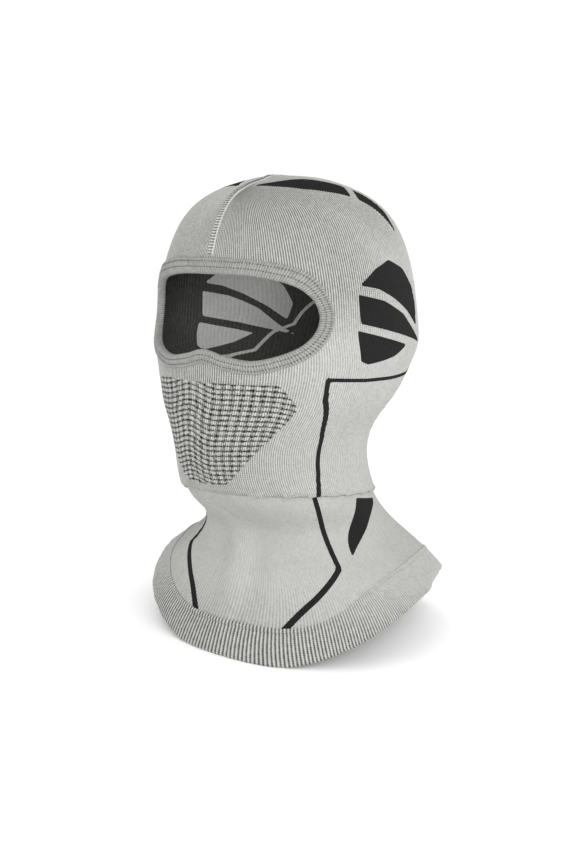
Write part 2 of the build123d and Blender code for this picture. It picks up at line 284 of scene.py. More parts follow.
def sample():
    """Grid of outer-surface points: rows from hem to crown, columns right round from the face."""
    low = np.arange(BASE - 0.006, HEAD_TOP, ROW)
    turn = np.linspace(0, math.pi / 2, 56)
    columns = WALES * PER_WALE
    phi = 2 * math.pi * np.arange(columns) / columns
    middle, fore, aft, half = section_sizes(np.append(low, HEAD_TOP))
    share = np.interp(np.append(low, HEAD_TOP), [FOLD_AT, HEAD_TOP], [0.15, 0.60])
    depth = np.where(np.cos(phi) > 0, fore[:, None], aft[:, None])
    core_y = middle[:, None] - share[:, None] * depth * np.cos(phi)
    flat = np.stack([half[:, None] * np.sin(phi), -(1 - share[:, None]) * depth * np.cos(phi)], -1)
    flat /= np.linalg.norm(flat, axis=-1, keepdims=True)
    rows = len(low) + len(turn)
    core, way = np.zeros((rows, columns, 3)), np.zeros((rows, columns, 3))
    for j in range(rows):
        k = min(j, len(low))
        angle = 0.0 if j < len(low) else turn[j - len(low)]
        height = low[j] if j < len(low) else HEAD_TOP
        core[j] = np.stack([0 * phi, core_y[k], 0 * phi + height], -1)
        way[j] = np.stack([flat[k, :, 0] * math.cos(angle), flat[k, :, 1] * math.cos(angle),
                           0 * phi + math.sin(angle)], -1)
    reach = np.full((rows, columns), np.nan)
    half_way = columns // 2
    for j in range(rows):
        for i in range(0, half_way + 1, 2):
            reach[j, i] = reach_of(core[j, i], way[j, i])
    known = np.arange(0, half_way + 1, 2)
    reach[reach < 0.012] = np.nan
    for i in known:
        reach[:, i] = fill_column(reach[:, i])
    for j in range(rows):
        line = np.interp(np.arange(half_way + 1), known, reach[j, known])
        reach[j, :half_way + 1] = line
        reach[j, half_way:] = line[::-1][:columns - half_way]
    reach = smooth_rows(smooth_columns(reach, 8), 4)
    return core + way * reach[..., None]


def grid_normals(p):
    """Outward normal at each point of the grid."""
    du = np.roll(p, -1, 1) - np.roll(p, 1, 1)
    dv = np.gradient(p, axis=0)
    du[-1] = du[-2]
    n = np.cross(du, dv)
    return n / np.maximum(np.linalg.norm(n, axis=-1, keepdims=True), 1e-12)


def fold_height(p):
    """Height above the fold under the jaw."""
    return p[..., 2] - FOLD_AT + (p[..., 1] - SHIFT) * FOLD_TILT


def bump(p, centre, size):
    """Soft mound around a point, with a size for each axis."""
    d = (p - np.array(centre)) / np.array(size)
    return np.exp(-0.5 * (d**2).sum(-1))


def drape(p, u):
    """Displacement of the soft cloth: the jaw fold, nape creases and folds of the neck."""
    f = fold_height(p)
    over = np.where(f > 0, 0.0012 * np.exp(-f / 0.006), 0)
    under = np.where(f <= 0, -0.0016 * np.exp(f / 0.007), 0)
    nape = bump(p, (0, 0.055, BASE + 0.480 * TOTAL), (0.10, 0.035, 0.013))
    creases = 0.0006 * nape * np.sin(p[..., 2] * 2 * math.pi / 0.0062 + 1.5 * np.sin(u * 0.11))
    valley = -0.0030 * bump(p, (0.004, -0.055, BASE + 0.23 * TOTAL), (0.007, 0.03, 0.030))
    ridge = 0.0022 * bump(p, (-0.010, -0.050, BASE + 0.22 * TOTAL), (0.006, 0.03, 0.034))
    sway = 0.0007 * np.sin(u * 2 * math.pi / 41 + 3.0 * np.sin(p[..., 2] * 31)) * step01(-f, 0.0, 0.03)
    mouth = bump(p, (0, -0.08, BASE + 0.6 * TOTAL), (0.03, 0.03, 0.02))
    brow = 0.0005 * np.sin(p[..., 2] * 2 * math.pi / 0.019) * mouth
    soft = 0.0004 * np.sin(u * 0.13 + p[..., 2] * 60) * np.cos(u * 0.05 - p[..., 2] * 33)
    return over + under + creases + valley + ridge + sway + brow + soft


# ---- meshes: a row of numbers to each point, and triangles of row numbers ----
PLACE = slice(0, 3)
NORMAL = slice(3, 6)
KNIT = slice(6, 8)  # u counts ribs and v rows of stitches
CREST = slice(8, 9)  # 1 on a rib and -1 in a groove
INNER_CREST = slice(9, 10)
GAIN = slice(10, 11)  # how deep the ribs are, and how strong the painted shade in their grooves is
REVERSE = slice(11, 13)  # y and z that the pattern on the inside is drawn by
PALE = 13  # 1 where the inside is pale


def base_mesh():
    """The whole outer surface as a grid of rows, closed by repeating its first column."""
    p = sample()
    rows, columns = p.shape[:2]
    n = grid_normals(p)
    u = np.repeat(np.arange(columns)[None] / PER_WALE, rows, 0)
    p = p + n * drape(p, u)[..., None]
    n = grid_normals(p)
    run = np.concatenate([np.zeros((1, columns)), np.cumsum(np.linalg.norm(np.diff(p, axis=0), axis=-1), 0)])
    run = smooth_columns(run, 60)
    rib = np.where(np.arange(columns) % PER_WALE == 0, 1.0, -1.0)[None].repeat(rows, 0)
    inner = np.cos(math.pi * u)
    gain = contrast(p)
    away = int(REVERSE_TURN * columns)
    far = np.roll(p, -away, 1)
    pattern = np.where((p[..., :1] < 0) & (np.arange(columns)[None, :, None] > columns // 2), far, p)[..., 1:]
    pattern[..., 1] += np.where(p[..., 0] < 0, REVERSE_DROP, 0)
    data = np.dstack([p, n, u, run / COURSE, rib, inner, gain, pattern, 0 * u])
    wrapped = np.concatenate([data, data[:, :1]], 1)
    wrapped[:, -1, KNIT.start] = WALES
    return wrapped


def contrast(p):
    """How deep the ribs are made and how strong the painted shade in their grooves is: strong on the
    forehead, round the mouth and on the hem, faint elsewhere.
    """
    up = (p[..., 2] - BASE) / TOTAL
    ahead = -p[..., 1] / LENGTH
    brow = step01(up, 0.62, 0.80) * step01(ahead, -0.10, 0.25)
    crown = step01(up, 0.78, 0.92)
    mouth = bump(p, (0, -0.10, BASE + 0.56 * TOTAL), (0.045, 0.05, 0.075))
    hem = step01(-up, -0.20, -0.05)
    return np.clip(0.30 + 0.70 * np.maximum.reduce([brow, crown * 0.9, mouth, hem]), 0, 1)


def block(grid, i0, i1, j0, j1):
    """Triangles of part of the grid, as a mesh of its own."""
    part = grid[j0:j1, i0:i1]
    rows, columns = part.shape[:2]
    index = np.arange(rows * columns).reshape(rows, columns)
    a, b, c, d = index[:-1, :-1], index[:-1, 1:], index[1:, 1:], index[1:, :-1]
    tris = np.concatenate([np.stack([a, b, c], -1).reshape(-1, 3), np.stack([a, c, d], -1).reshape(-1, 3)])
    return part.reshape(-1, part.shape[-1]).copy(), tris


def clip(mesh, f):
    """Splits a mesh where f changes sign: returns the part with f < 0 and the rest."""
    v, t = mesh
    f = np.where(np.abs(f) < 2e-6, 2e-6, f)
    inside = f < 0
    count = inside[t].sum(1)
    mixed = t[(count == 1) | (count == 2)]
    keep_in, keep_out = [t[count == 3]], [t[count == 0]]
    new = v
    if len(mixed):
        flags = inside[mixed]
        lone_in = flags.sum(1) == 1
        lone = np.where(lone_in, flags.argmax(1), (~flags).argmax(1))
        rows = np.arange(len(mixed))
        a, b, c = (mixed[rows, (lone + k) % 3] for k in range(3))
        edges = np.sort(np.concatenate([np.stack([a, b], 1), np.stack([a, c], 1)]), 1)
        unique, back = np.unique(edges, axis=0, return_inverse=True)
        back = back.reshape(-1)
        f0, f1 = f[unique[:, 0]], f[unique[:, 1]]
        w = (f0 / (f0 - f1))[:, None]
        new = np.vstack([v, v[unique[:, 0]] * (1 - w) + v[unique[:, 1]] * w])
        ab, ac = len(v) + back[:len(a)], len(v) + back[len(a):]
        tip = np.stack([a, ab, ac], 1)
        rest = np.concatenate([np.stack([ab, b, c], 1), np.stack([ab, c, ac], 1)])
        twice = np.concatenate([lone_in, lone_in])
        keep_in += [tip[lone_in], rest[~twice]]
        keep_out += [tip[~lone_in], rest[twice]]
    return tidy(new, np.concatenate(keep_in)), tidy(new, np.concatenate(keep_out))


def tidy(v, t):
    """A mesh without the points that no triangle uses."""
    used = np.unique(t)
    index = np.zeros(len(v), int)
    index[used] = np.arange(len(used))
    return v[used], index[t]


def merged(*meshes):
    """Several meshes as one, joined where their points coincide."""
    v = np.vstack([m[0] for m in meshes])
    starts = np.cumsum([0] + [len(m[0]) for m in meshes[:-1]])
    t = np.vstack([m[1] + s for m, s in zip(meshes, starts)])
    return v, t


def border(t):
    """Directed edges that belong to one triangle only."""
    e = np.concatenate([t[:, [0, 1]], t[:, [1, 2]], t[:, [2, 0]]])
    key = np.sort(e, 1)
    _, index, count = np.unique(key, axis=0, return_index=True, return_counts=True)
    return e[index[count == 1]]


def weld(v, tolerance=2e-6):
    """The first point at each place, and which of those each point is."""
    key = np.round(v[:, PLACE] / tolerance).astype(np.int64)
    first, back = np.unique(key, axis=0, return_index=True, return_inverse=True)[1:]
    return first, back.reshape(-1)


def shell(name, mesh, depth=FABRIC, rib=RIB, inner_rib=0.00025, lift=0.0, round_at=None, materials=()):
    """Closed piece of cloth: ribbed outer face, ribbed inner face and a side wall along its border.

    Materials are those of the outer face, the inner face, the side wall and the pale parts of the inner face.
    """
    v, t = mesh
    first, back = weld(v)
    w, s = v[first], back[t]
    good = (s[:, 0] != s[:, 1]) & (s[:, 1] != s[:, 2]) & (s[:, 0] != s[:, 2])
    s, t = s[good], t[good]
    pale = v[t][..., PALE].min(1) > 0.5
    normal = w[:, NORMAL] / np.maximum(np.linalg.norm(w[:, NORMAL], axis=1, keepdims=True), 1e-9)
    gain = 0.45 + 0.55 * w[:, GAIN]
    outer = w[:, PLACE] + normal * (lift + rib * gain * w[:, CREST])
    inner = w[:, PLACE] + normal * (lift - depth + inner_rib * w[:, INNER_CREST])
    edges = border(s)
    count = len(w)
    points = [outer, inner]
    faces = [s, s[:, ::-1] + count]
    uv = [v[t.reshape(-1), KNIT], v[t[:, ::-1].reshape(-1), KNIT]]
    kind = [np.zeros(len(s), int), np.where(pale, 3, 1)]
    rings = [edges]
    if round_at is not None:
        rings = round_rings(w, outer, inner, normal, edges, round_at, points)
    ring_faces(w, edges, rings, count, faces, uv, kind)
    sharp = np.vstack([edges, edges + count]) if round_at is None else edges[:0]
    return build(name, np.vstack(points), np.vstack(faces), np.vstack(uv), np.concatenate(kind), materials,
                 gain=np.resize(w[:, GAIN], sum(len(p) for p in points)), sharp=sharp)


def round_rings(w, outer, inner, normal, edges, amount, points):
    """Extra rings of points that give a free edge a full round shape."""
    count = len(w)
    out = np.zeros((count, 3))
    ahead = w[edges[:, 1], PLACE] - w[edges[:, 0], PLACE]
    side = np.cross(ahead, normal[edges[:, 0]])
    for k in (0, 1):
        np.add.at(out, edges[:, k], side)
    out /= np.maximum(np.linalg.norm(out, axis=1, keepdims=True), 1e-9)
    rings = [edges]
    for share in (0.2, 0.5, 0.8):
        bulge = amount * math.sin(math.pi * share)
        points.append(outer * (1 - share) + inner * share + out * bulge)
        rings.append(edges + count * (len(points) - 1))
    return rings


def ring_faces(w, edges, rings, count, faces, uv, kind):
    """Side wall from ring to ring, down to the inner face."""
    chain = rings + [edges + count]
    for a, b in zip(chain, chain[1:]):
        upper = np.stack([a[:, 1], a[:, 0], b[:, 0]], 1)
        lower = np.stack([a[:, 1], b[:, 0], b[:, 1]], 1)
        quad = np.concatenate([upper, lower])
        faces.append(quad)
        uv.append(w[(quad % count).reshape(-1), KNIT])
        kind.append(np.full(len(quad), 2))


def build(name, points, tris, uv, kind, materials, gain=None, sharp=()):
    """Blender object from arrays: uv to each corner, kind (a material's place) to each triangle."""
    name = name + "_knit"
    mesh = bpy.data.meshes.new(name)
    mesh.vertices.add(len(points))
    mesh.vertices.foreach_set("co", np.ascontiguousarray(points, np.float32).reshape(-1))
    mesh.loops.add(len(tris) * 3)
    mesh.loops.foreach_set("vertex_index", np.ascontiguousarray(tris, np.int32).reshape(-1))
    mesh.polygons.add(len(tris))
    mesh.polygons.foreach_set("loop_start", np.arange(0, len(tris) * 3, 3, dtype=np.int32))
    for m in materials:
        mesh.materials.append(m)
    mesh.polygons.foreach_set("material_index", np.minimum(kind, len(materials) - 1).astype(np.int32))
    mesh.update(calc_edges=True)
    layer = mesh.uv_layers.new(name="knit")
    layer.data.foreach_set("uv", np.ascontiguousarray(uv, np.float32).reshape(-1))
    values = np.ones(len(points)) if gain is None else gain
    mesh.attributes.new("gain", "FLOAT", "POINT").data.foreach_set("value", values.astype(np.float32))
    mesh.shade_smooth()
    if len(sharp):
        ends = np.zeros(len(mesh.edges) * 2, np.int32)
        mesh.edges.foreach_get("vertices", ends)
        ends = np.sort(ends.reshape(-1, 2), 1).astype(np.int64)
        wanted = np.sort(sharp, 1).astype(np.int64)
        flags = np.isin(ends[:, 0] * len(points) + ends[:, 1], wanted[:, 0] * len(points) + wanted[:, 1])
        mesh.attributes.new("sharp_edge", "BOOLEAN", "EDGE").data.foreach_set("value", flags)
    mesh.validate()
    obj = bpy.data.objects.new(name, mesh)
    bpy.context.collection.objects.link(obj)
    return obj


def plain_mesh(name, points, tris, material, uv=None):
    """Blender object of one material."""
    points, tris = np.asarray(points), np.asarray(tris)
    uv = np.zeros((len(tris) * 3, 2)) if uv is None else np.array(uv)
    return build(name, points, tris, uv, np.zeros(len(tris), int), [material])


# ---- materials ----
def nodes_of(name):
    """New material, its node tree and its shader."""
    m = bpy.data.materials.new(name)
    m.use_nodes = True
    tree = m.node_tree
    return m, tree, tree.nodes["Principled BSDF"]


def calc(tree, op, a, b=None, c=None):
    """Result of a sum on numbers or on results of other nodes."""
    n = tree.nodes.new("ShaderNodeMath")
    n.operation = op
    for k, value in enumerate((a, b, c)):
        if value is None:
            continue
        if isinstance(value, (int, float)):
            n.inputs[k].default_value = value
        else:
            tree.links.new(value, n.inputs[k])
    return n.outputs[0]


def mix_colour(tree, factor, a, b):
    """Colour between a, at factor 0, and b, at factor 1."""
    n = tree.nodes.new("ShaderNodeMix")
    n.data_type = "RGBA"
    for socket, value in ((n.inputs[0], factor), (n.inputs[6], a), (n.inputs[7], b)):
        if isinstance(value, (int, float)):
            socket.default_value = value
        elif isinstance(value, tuple):
            socket.default_value = (*value, 1)
        else:
            tree.links.new(value, socket)
    return n.outputs[2]


def knit_coordinates(tree):
    """The knit's u and v."""
    uv = tree.nodes.new("ShaderNodeUVMap")
    uv.uv_map = "knit"
    parts = tree.nodes.new("ShaderNodeSeparateXYZ")
    tree.links.new(uv.outputs[0], parts.inputs[0])
    return parts.outputs[0], parts.outputs[1]


def cell_noise(tree, u, v):
    """A random number for each whole step of u and v."""
    joined = tree.nodes.new("ShaderNodeCombineXYZ")
    tree.links.new(calc(tree, "FLOOR", u), joined.inputs[0])
    tree.links.new(calc(tree, "FLOOR", v), joined.inputs[1])
    noise = tree.nodes.new("ShaderNodeTexWhiteNoise")
    noise.noise_dimensions = "3D"
    tree.links.new(joined.outputs[0], noise.inputs["Vector"])
    return noise.outputs["Value"]


def soft_noise(tree, scale, detail):
    """Cloudy noise fixed to the object."""
    where = tree.nodes.new("ShaderNodeTexCoord")
    noise = tree.nodes.new("ShaderNodeTexNoise")
    noise.inputs["Scale"].default_value = scale
    noise.inputs["Detail"].default_value = detail
    tree.links.new(where.outputs["Object"], noise.inputs["Vector"])
    return noise.outputs["Fac"]


def wave(tree, x, period):
    """Cosine of a coordinate, from 0 to 1, 1 at each whole period."""
    turned = calc(tree, "MULTIPLY", x, 2 * math.pi / period)
    return calc(tree, "MULTIPLY_ADD", calc(tree, "COSINE", turned), 0.5, 0.5)


def knit(name, light, dark, groove=0.5, period=1.0, melange=0.16, depth=0.5, rough=0.92, slant=0.35,
         sheen=0.10):
    """Ribbed melange knit: crests and grooves along u, stitches along v. The grooves and the hollows between
    stitches get painted shade: the colour goes from light on the crests to dark deepest in them.
    """
    m, tree, shader = nodes_of(name)
    u, v = knit_coordinates(tree)
    rib = wave(tree, u, period)
    across = calc(tree, "FRACT", calc(tree, "MULTIPLY_ADD", u, 1.0 / period, 0.5))
    lean = calc(tree, "ABSOLUTE", calc(tree, "SUBTRACT", across, 0.5))
    leaned = calc(tree, "MULTIPLY_ADD", lean, slant * 2, calc(tree, "MULTIPLY", v, 1.0))
    stitch = wave(tree, leaned, 1.0)
    height = calc(tree, "MULTIPLY_ADD", stitch, 0.16, calc(tree, "MULTIPLY", rib, 0.84))
    fleck = cell_noise(tree, calc(tree, "MULTIPLY", u, 2.0), calc(tree, "MULTIPLY", v, 0.9))
    cloud = soft_noise(tree, 240.0, 4.0)
    wide = soft_noise(tree, 22.0, 2.0)
    gain = tree.nodes.new("ShaderNodeAttribute")
    gain.attribute_name = "gain"
    # Painted shade: the colour darkens where the surface is low, in the grooves and between stitches, by the
    # attribute gain times groove.
    deep = calc(tree, "MULTIPLY", gain.outputs["Fac"], groove)
    hollow = calc(tree, "SUBTRACT", 1.0, height)
    shade = calc(tree, "SUBTRACT", 1.0, calc(tree, "MULTIPLY", hollow, deep))
    shade = calc(tree, "MULTIPLY_ADD", calc(tree, "SUBTRACT", fleck, 0.5), melange, shade)
    shade = calc(tree, "MULTIPLY_ADD", calc(tree, "SUBTRACT", cloud, 0.5), melange * 0.9, shade)
    shade = calc(tree, "MULTIPLY_ADD", calc(tree, "SUBTRACT", wide, 0.5), 0.10, shade)
    colour(tree, shader, shade, dark, light)
    finish(tree, shader, height, depth, rough, sheen)
    return m


def colour(tree, shader, shade, dark, light):
    """Base colour from dark, at shade 0, to light, at shade 1."""
    clamp = tree.nodes.new("ShaderNodeClamp")
    tree.links.new(shade, clamp.inputs[0])
    tree.links.new(mix_colour(tree, clamp.outputs[0], dark, light), shader.inputs["Base Color"])


def finish(tree, shader, height, depth, rough, sheen):
    """Fuzz, relief of the stitches, roughness and sheen."""
    fuzz = soft_noise(tree, 900.0, 2.0)
    total = calc(tree, "MULTIPLY_ADD", fuzz, 0.25, height)
    relief = tree.nodes.new("ShaderNodeBump")
    relief.inputs["Distance"].default_value = 0.0004
    relief.inputs["Strength"].default_value = depth
    tree.links.new(total, relief.inputs["Height"])
    tree.links.new(relief.outputs[0], shader.inputs["Normal"])
    tree.links.new(calc(tree, "MULTIPLY_ADD", fuzz, 0.08, rough - 0.06), shader.inputs["Roughness"])
    shader.inputs["Sheen Weight"].default_value = sheen
    shader.inputs["Sheen Roughness"].default_value = 0.5
    shader.inputs["Specular IOR Level"].default_value = 0.15


def waffle(name, light, dark):
    """Mesh knit: rows of dark cells joined by thin dark lines, with pale double ribs between. The cells and
    lines are the mesh's holes painted in colour: the dark inside of the hood seen through them, partly its
    own dark colour and partly painted shade. The ribs get painted shade in their grooves.
    """
    m, tree, shader = nodes_of(name)
    u, v = knit_coordinates(tree)
    rib = wave(tree, u, 1.0)
    cell = wave(tree, calc(tree, "SUBTRACT", u, 0.5), 4.0)
    row = wave(tree, v, MESH_ROWS)
    line = calc(tree, "POWER", row, 2.5)
    rows = calc(tree, "MULTIPLY_ADD", row, 0.60, 0.42)
    blob = calc(tree, "MULTIPLY", calc(tree, "POWER", cell, 0.7), rows)
    # Painted shade: the holes are drawn as dark colour, not cut.
    hole = calc(tree, "MAXIMUM", calc(tree, "MULTIPLY", line, 0.88), blob)
    ribs = calc(tree, "MULTIPLY_ADD", rib, 0.65, 0.35)
    pale = calc(tree, "MULTIPLY", calc(tree, "SUBTRACT", 1.0, hole), ribs)
    fleck = cell_noise(tree, calc(tree, "MULTIPLY", u, 2.0), calc(tree, "MULTIPLY", v, 1.7))
    base = calc(tree, "MULTIPLY", pale, 1.25)
    shade = calc(tree, "MULTIPLY_ADD", calc(tree, "SUBTRACT", fleck, 0.5), 0.45, base)
    colour(tree, shader, shade, dark, light)
    finish(tree, shader, pale, 1.0, 0.92, 0.05)
    return m


MESH_ROWS = 2.25  # rows of stitches to a row of cells in the mesh knit
# Crest colours, and with each a darker colour that is painted shade in the grooves of the ribs.
GREY = (0.385, 0.385, 0.368)
GREY_GROOVE_SHADE = (0.035, 0.035, 0.033)
BLACK = (0.010, 0.010, 0.0105)
BLACK_GROOVE_SHADE = (0.003, 0.003, 0.003)
# Each knit goes from its first colour on the crests to its second colour, painted shade, in the grooves.
M = {
    "grey": knit("grey_knit", GREY, GREY_GROOVE_SHADE, groove=0.92, depth=0.8),
    "neck": knit("grey_fine_knit", (0.345, 0.345, 0.330), GREY_GROOVE_SHADE, groove=0.42, slant=1.0),
    "black": knit("contrast_knit", BLACK, BLACK_GROOVE_SHADE, groove=0.6, melange=0.3, sheen=0.0),
    # The inside colours are the reverse of the knit, with their brightness raised to make up for the little
    # light inside the hood: partly painted light.
    "inside": knit("knit_reverse", (0.115, 0.115, 0.111), (0.010, 0.008, 0.008), groove=0.85, period=2.0,
                   melange=0.35, sheen=0.0),
    "inside_pale": knit("contrast_reverse", (0.88, 0.88, 0.85), (0.25, 0.25, 0.24), groove=0.4, period=2.0),
    # The mesh's second colour is the painted dark of its holes.
    "mesh": waffle("mesh_knit", (0.40, 0.40, 0.38), (0.008, 0.008, 0.008)),
    "band": knit("band_rib", (0.265, 0.265, 0.254), (0.060, 0.060, 0.057), groove=0.55, melange=0.25),
    "hem": knit("hem_rib", (0.41, 0.41, 0.392), (0.025, 0.025, 0.024), groove=1.0, depth=0.9),
    "tape": knit("seam_tape", (0.42, 0.42, 0.40), (0.14, 0.14, 0.13), groove=0.5),
    "dark_thread": knit("dark_thread", (0.060, 0.060, 0.058), (0.02, 0.02, 0.02), groove=0.3, rough=0.7),
    "pale_thread": knit("pale_thread", (0.45, 0.45, 0.43), (0.30, 0.30, 0.29), groove=0.3, rough=0.7),
}


# ---- zones ----
def outline_height(points, x):
    """Height of a hem outline at x."""
    p = np.array(points)
    return BASE + np.interp(np.abs(x) / BREADTH, p[:, 0], p[:, 1]) * TOTAL


def hem_field(v, front, back):
    """Height above a hem outline, which goes from its front to its back at the sides."""
    ahead = outline_height(front, v[:, 0])
    behind = outline_height(back, v[:, 0])
    mix = step01(v[:, 1], -0.012, 0.012)
    return v[:, 2] - (ahead * (1 - mix) + behind * mix)


def front_field(v, loop):
    """Negative inside a loop drawn on the front."""
    return np.where(v[:, 1] < 0, signed(v[:, [0, 2]], loop), 1.0)


def side_field(v, loop, sign):
    """Negative inside a loop drawn on one side."""
    f = signed(v[:, [1, 2]], loop)
    return np.where(v[:, 0] * sign > 0, f, 1.0)


def cut_line(mesh, side_of, width):
    """Splits a ribbon of that width out of a mesh: the ribbon and the rest."""
    first, left = clip(mesh, side_of(mesh[0]) - width / 2)
    ribbon, right = clip(first, -side_of(first[0]) - width / 2)
    return ribbon, merged(left, right)


def ear_side(v, sign):
    """Signed distance from one ear line, above the fold."""
    d = beside(v[:, [1, 2]], EAR_PATH)
    corner = EAR_PATH[EAR_CORNER]
    level = (v[:, 1] > corner[0]) & (v[:, 2] > corner[1] - 0.008)
    d = np.where(level, d * EAR_LINE_TAPER, d)
    return np.where((v[:, 0] * sign > -1e-6) & (fold_height(v[:, :3]) > -0.01), d, 1.0)


def neck_side(v, sign):
    """Signed distance from one neck line, which is drawn as seen from 45 degrees."""
    across = (v[:, 0] * sign + v[:, 1] - SHIFT) / math.sqrt(2)
    d = beside(np.stack([across, v[:, 2]], 1), NECK_PATH)
    normal = v[:, NORMAL]
    return np.where((normal[:, 0] * sign - normal[:, 1] > 0.05) & (v[:, 0] * sign > 0.004), d, 1.0)


def guard_field(v):
    """Negative in front of the ear lines and below their corners."""
    path = side_loop(EAR_LINE[:EAR_CORNER + 1])
    edge = np.interp(v[:, 2], path[:, 1], path[:, 0])
    return np.maximum(v[:, 1] - edge, v[:, 2] - path[-1, 1])


# ---- pieces ----
grid = base_mesh()
ROWS, COLUMNS = grid.shape[:2]
HALF = (COLUMNS - 1) // 2
EYE = smooth_loop(front_loop(both(EYE_EDGE)), 300)
BAND = smooth_loop(front_loop(both(BAND_EDGE)), 300)
MESH = rounded(front_loop(both(MESH_EDGE)), 0.003)
EAR_PATH = side_loop(EAR_LINE)
NECK_PATH = side_loop(NECK_LINE) - np.array([SHIFT, 0])


def add(obj, body, slot_name, *nodes):
    """Puts a piece on its body in place of those CAD nodes."""
    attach(obj, body)
    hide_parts(*nodes)


def cut_size(node):
    """Sides of a square with the area of one face of the CAD solid, which is what the cloth is cut to."""
    solid = bpy.data.objects[node]
    points = [solid.matrix_world @ v.co for v in solid.data.vertices]
    faces = [[points[i] for i in p.vertices] for p in solid.data.polygons]
    total = sum(area_tri(f[0], f[k], f[k + 1]) for f in faces for k in range(1, len(f) - 1)) / 2
    return (math.sqrt(total), math.sqrt(total))


def add_sheet(obj, body, slot_name, *nodes):
    """Puts a piece of cloth on its body and works out the flat size of the first of its CAD nodes."""
    add(obj, body, slot_name, *nodes)
    cut_size(nodes[0])


def hood_cloth(name, mesh, slot_name, **settings):
    """A piece of the hood's cloth."""
    add_sheet(shell(name, mesh, **settings), "hood", slot_name, name)


CLOTH = [M["grey"], M["inside"], M["grey"], M["inside_pale"]]
HOOD_INLAYS = [stem for stem in INLAYS if stem.startswith("back_inlay")]
INLAY_CORNER = 0.0012
CROWN_CORNER = 0.002
WEDGE_CORNER = 0.0008


def make_hood():
    """The ribbed hood in two halves, the face guard, the mesh and the contrast pieces."""
    guards, panels = [], []
    for side, sign in SIDES.items():
        part = block(grid, 0, HALF + 1, 0, ROWS) if sign > 0 else block(grid, HALF, COLUMNS, 0, ROWS)
        part = clip(part, fold_height(part[0][:, :3]))[1]
        part = clip(part, front_field(part[0], EYE))[1]
        part = mark_reverse(part, sign)
        panel, part = clip(part, front_field(part[0], MESH))
        panels.append(panel)
        for stem in HOOD_INLAYS:
            loop = rounded(side_loop(INLAYS[stem]), INLAY_CORNER)
            piece, part = clip(part, side_field(part[0], loop, sign))
            contrast_piece(f"{stem}_{side}", piece)
        for stem, points in CROWNS.items():
            p = np.array(points)
            loop = rounded(np.stack([p[:, 0] * BREADTH * sign, p[:, 1] * LENGTH], 1), CROWN_CORNER)
            f = np.where(part[0][:, 2] > HEAD_TOP, signed(part[0][:, [0, 1]], loop), 1.0)
            piece, part = clip(part, f)
            contrast_piece(f"{stem}_{side}", piece)
        piece, part = cut_line(part, lambda v: ear_side(v, sign), LINE_WIDTH)
        contrast_piece(f"ear_line_{side}", piece)
        guard, part = clip(part, guard_field(part[0]))
        guards.append(guard)
        hood_cloth(f"hood_{side}", part, "grey_knit", materials=CLOTH)
    hood_cloth("face_guard", merged(*guards), "grey_knit", materials=CLOTH)
    hood_cloth("mouth_mesh_panel", merged(*panels), "mesh_knit", rib=0.0003,
               materials=[M["mesh"], M["inside"], M["mesh"], M["inside_pale"]])


def mark_reverse(part, sign):
    """Marks where the reverse of the knit is pale: behind the contrast pieces and the ear line."""
    for stem in HOOD_INLAYS:
        loop = rounded(side_loop(INLAYS[stem]), INLAY_CORNER)
        f = np.where(part[0][:, 0] * sign > 0, signed(part[0][:, REVERSE], loop), 1.0)
        pale, rest = clip(part, f)
        pale[0][:, PALE] = 1.0
        part = merged(pale, rest)
    line, rest = cut_line(part, lambda v: ear_side(v, sign), LINE_WIDTH_INSIDE)
    line[0][:, PALE] = 1.0
    return merged(line, rest)


def contrast_piece(name, mesh):
    """A black piece of the hood, just proud of the grey cloth round it."""
    hood_cloth(name, mesh, "contrast_knit", lift=0.00012,
               materials=[M["black"], M["inside"], M["black"], M["inside_pale"]])


def make_neck():
    """Soft neck in two lengths, with its lines and wedges. Returns the mesh of the hem below it."""
    whole = block(grid, 0, COLUMNS, 0, ROWS)
    tube = clip(whole, fold_height(whole[0][:, :3]) + 0.0004)[0]
    hem, tube = clip(tube, hem_field(tube[0], HEM_TOP_FRONT, HEM_TOP_BACK))
    hem = clip(hem, hem_field(hem[0], RIM_FRONT, RIM_BACK) - 0.0010)[1]
    lines = {}
    for side, sign in SIDES.items():
        loop = rounded(side_loop(INLAYS["nape_wedge"]), WEDGE_CORNER)
        lines["nape_wedge_" + side], tube = clip(tube, side_field(tube[0], loop, sign))
        piece, tube = cut_line(tube, lambda v: neck_side(v, sign), LINE_WIDTH)
        below, above = clip(piece, piece[0][:, 2] - SPLIT)
        lines["neck_line_lower_" + side] = below
        lines["neck_line_upper_" + side] = above
    lower, upper = clip(tube, tube[0][:, 2] - SPLIT)
    grey = [M["neck"], M["inside"], M["neck"], M["inside_pale"]]
    neck_cloth("neck_upper", upper, grey)
    neck_cloth("neck_lower", lower, grey)
    for name, mesh in lines.items():
        neck_cloth(name, mesh, [M["black"], M["inside_pale"], M["black"]])
    return hem


def neck_cloth(name, mesh, materials):
    """A piece of the neck, put in place of its CAD node."""
    obj = shell(name, mesh, rib=RIB * 0.7, materials=materials)
    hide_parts(name)
    cut_size(name)
    if "lower" in name:
        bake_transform(obj)
    else:
        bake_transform(obj)


def make_hem(mesh):
    """Thick folded hem with a full round lower edge, its lining and the welt at its top."""
    obj = shell("hem_band", mesh, depth=0.0030, rib=0.00035, round_at=0.0012,
                materials=[M["hem"], M["inside"], M["hem"]])
    add_sheet(obj, "collar", "hem_rib", "hem_band", "hem_facing")
    f = hem_field(mesh[0], HEM_TOP_FRONT, HEM_TOP_BACK)
    strip = clip(mesh, f + 0.0024)[1]
    welt = shell("hem_welt", strip, depth=0.0006, rib=0.0002, lift=0.0007, materials=[M["hem"]])
    add_sheet(welt, "collar", "hem_rib", "hem_welt")


